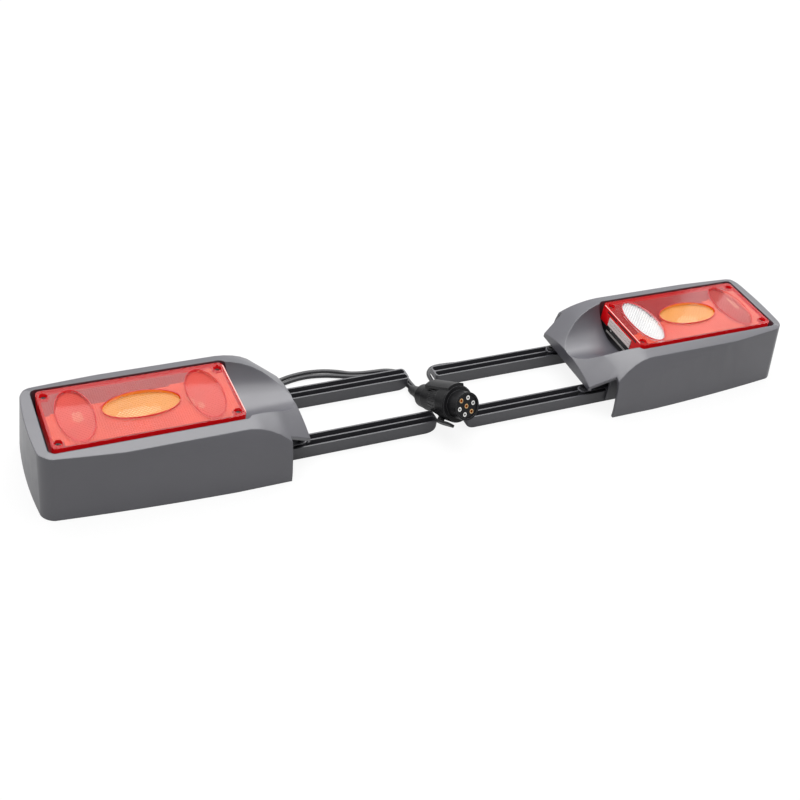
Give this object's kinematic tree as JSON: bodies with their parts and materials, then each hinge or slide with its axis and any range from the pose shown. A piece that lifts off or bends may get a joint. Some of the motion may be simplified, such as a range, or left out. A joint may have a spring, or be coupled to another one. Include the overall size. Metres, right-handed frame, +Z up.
{
  "type": "trailer light set",
  "caption": "Rear light set for a bicycle or cargo carrier: mirrored lamp housings on channel arms, joined by a cable, with a round multi-pin plug on its own lead.",
  "frame": {"origin": "on the floor under the middle of the set, its cables and plug left out", "axes": "+X along the set toward the right lamp, +Y to the rear, +Z up; the housings and arms rest on z = 0"},
  "size_m": [1.036, 0.1927, 0.0846],
  "materials": {
    "housing_grey": "fine moulded grain, slightly satin",
    "arm_dark": "smooth satin, bright wall edges",
    "lamp_black": "moulded",
    "reflector_silver": "bright metallised moulding",
    "lens_red": "clear red, ribbed on the inside",
    "lens_amber": "clear amber, ribbed on the inside",
    "lens_clear": "clear, ribbed on the inside",
    "bulb_glass": "clear glass",
    "holder_steel": "plain pressed metal",
    "screw_steel": "plain",
    "screw_dark": "black coated",
    "rubber_black": "matt",
    "plug_black": "moulded, slightly satin",
    "contact_brass": "bright, turned",
    "contact_silver": "bright, turned",
    "cable_black": "smooth sheath"
  },
  "bodies": {
    "root": {"left_housing": "housing_grey", "left_arm_front": "arm_dark", "left_arm_rear": "arm_dark", "left_arm_screws": "screw_dark", "left_lamp_base": "lamp_black", "left_reflector": "reflector_silver", "left_lens": "lens_red", "left_amber_oval": "lens_amber", "left_plate_window": "lens_clear", "left_lens_screws": "screw_steel", "left_seal": "rubber_black", "left_bulb_tail": "bulb_glass", "left_bulb_indicator": "bulb_glass", "left_bulb_fog": "bulb_glass", "left_bulb_plate": "bulb_glass", "left_bulb_holders": "holder_steel", "left_lamp_bolts": "screw_steel", "left_lamp_nuts": "screw_steel", "left_grommets": "rubber_black", "right_housing": "housing_grey", "right_arm_front": "arm_dark", "right_arm_rear": "arm_dark", "right_arm_screws": "screw_dark", "right_lamp_base": "lamp_black", "right_reflector": "reflector_silver", "right_lens": "lens_red", "right_amber_oval": "lens_amber", "right_reverse_oval": "lens_clear", "right_plate_window": "lens_clear", "right_lens_screws": "screw_steel", "right_seal": "rubber_black", "right_bulb_tail": "bulb_glass", "right_bulb_indicator": "bulb_glass", "right_bulb_reverse": "bulb_glass", "right_bulb_plate": "bulb_glass", "right_bulb_holders": "holder_steel", "right_lamp_bolts": "screw_steel", "right_lamp_nuts": "screw_steel", "right_grommet": "rubber_black", "plug_body": "plug_black", "plug_gland_nut": "plug_black", "plug_boot": "rubber_black", "plug_insert": "plug_black", "plug_contacts_brass": "contact_brass", "plug_contacts_silver": "contact_silver", "main_cable": "cable_black", "link_cable": "cable_black"}
  },
  "joints": []
}
